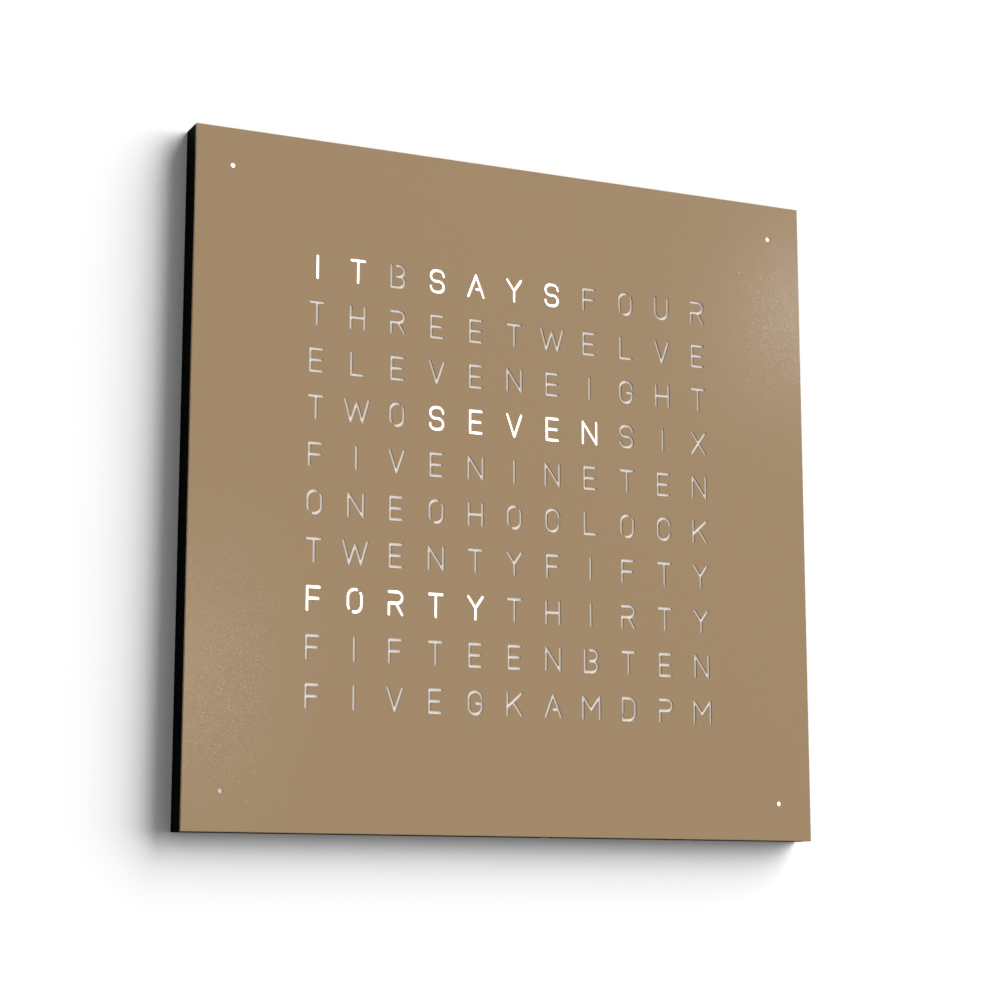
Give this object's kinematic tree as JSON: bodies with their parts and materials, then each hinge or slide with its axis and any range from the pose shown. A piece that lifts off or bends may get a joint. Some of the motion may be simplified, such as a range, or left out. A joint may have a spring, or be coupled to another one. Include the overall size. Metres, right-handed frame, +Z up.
{
  "type": "word clock",
  "caption": "Square wall clock that tells the time in lit words: a gold-beige steel plate with cut-out letters and corner dots on a flat black casing.",
  "frame": {"origin": "centre of the flat wall face at the back", "axes": "+Y into the wall, +Z up, +X to the right seen from the front"},
  "size_m": [0.45, 0.02, 0.45],
  "materials": {
    "plate_coat": "matte powder coat, gold-beige with a fine metallic fleck",
    "casing_black": "black anodised, satin",
    "panel_black": "fine-grained matte black",
    "opal_sheet": "opal, satin",
    "grid_black": "moulded matte black",
    "white_board": "white solder mask",
    "led_body": "yellow phosphor in a white package",
    "flat_cable": "grey insulation",
    "zinc_steel": "zinc plated",
    "screw_steel": "plated, drive recess",
    "nickel_magnet": "nickel plated",
    "tray_plastic": "fine-grained black",
    "inlet_plastic": "moulded black",
    "contact_brass": "plated contact",
    "button_plastic": "moulded grey",
    "switch_plastic": "moulded black",
    "green_board": "green solder mask",
    "chip_black": "moulded black",
    "crystal_can": "drawn can",
    "holder_plastic": "moulded black",
    "cell_steel": "bare steel cell",
    "capacitor_can": "drawn can",
    "connector_white": "natural white"
  },
  "bodies": {
    "root": {"back_panel": "panel_black", "board_connectors": "connector_white", "board_screws": "screw_steel", "board_standoffs": "zinc_steel", "brace_screws": "screw_steel", "button_board": "green_board", "button_switches": "switch_plastic", "capacitor": "capacitor_can", "cell_holder": "holder_plastic", "clock_chip": "chip_black", "coin_cell": "cell_steel", "controller_board": "green_board", "controller_chip": "chip_black", "corner_braces": "zinc_steel", "corner_leads": "flat_cable", "corner_led_boards": "white_board", "corner_leds": "led_body", "corner_light_wells": "grid_black", "diffuser_sheet": "opal_sheet", "feed_leads": "flat_cable", "hanger_plates": "zinc_steel", "hanger_screws": "screw_steel", "inlet_contact": "contact_brass", "led_board_1": "white_board", "led_board_10": "white_board", "led_board_2": "white_board", "led_board_3": "white_board", "led_board_4": "white_board", "led_board_5": "white_board", "led_board_6": "white_board", "led_board_7": "white_board", "led_board_8": "white_board", "led_board_9": "white_board", "letter_baffle": "grid_black", "letter_leds": "led_body", "panel_screws": "screw_steel", "plate_magnets": "nickel_magnet", "power_inlet": "inlet_plastic", "quartz_crystal": "crystal_can", "rail_bottom": "casing_black", "rail_left": "casing_black", "rail_right": "casing_black", "rail_top": "casing_black", "row_jumpers": "flat_cable", "service_tray": "tray_plastic", "tray_lead": "flat_cable", "tray_screws": "screw_steel"},
    "front": {"front_plate": "plate_coat", "locating_pins": "zinc_steel"},
    "button_left": {"button_left": "button_plastic"},
    "button_middle": {"button_middle": "button_plastic"},
    "button_right": {"button_right": "button_plastic"}
  },
  "joints": [
    {"name": "plate_pull", "type": "slide", "parent": "root", "child": "front", "axis": [0, -1, 0], "range_m": [0, 0.06]},
    {"name": "button_left_press", "type": "slide", "parent": "root", "child": "button_left", "axis": [0, -1, 0], "range_m": [0, 0.0006], "stiffness_N_per_m": 800},
    {"name": "button_middle_press", "type": "slide", "parent": "root", "child": "button_middle", "axis": [0, -1, 0], "range_m": [0, 0.0006], "stiffness_N_per_m": 800},
    {"name": "button_right_press", "type": "slide", "parent": "root", "child": "button_right", "axis": [0, -1, 0], "range_m": [0, 0.0006], "stiffness_N_per_m": 800}
  ]
}
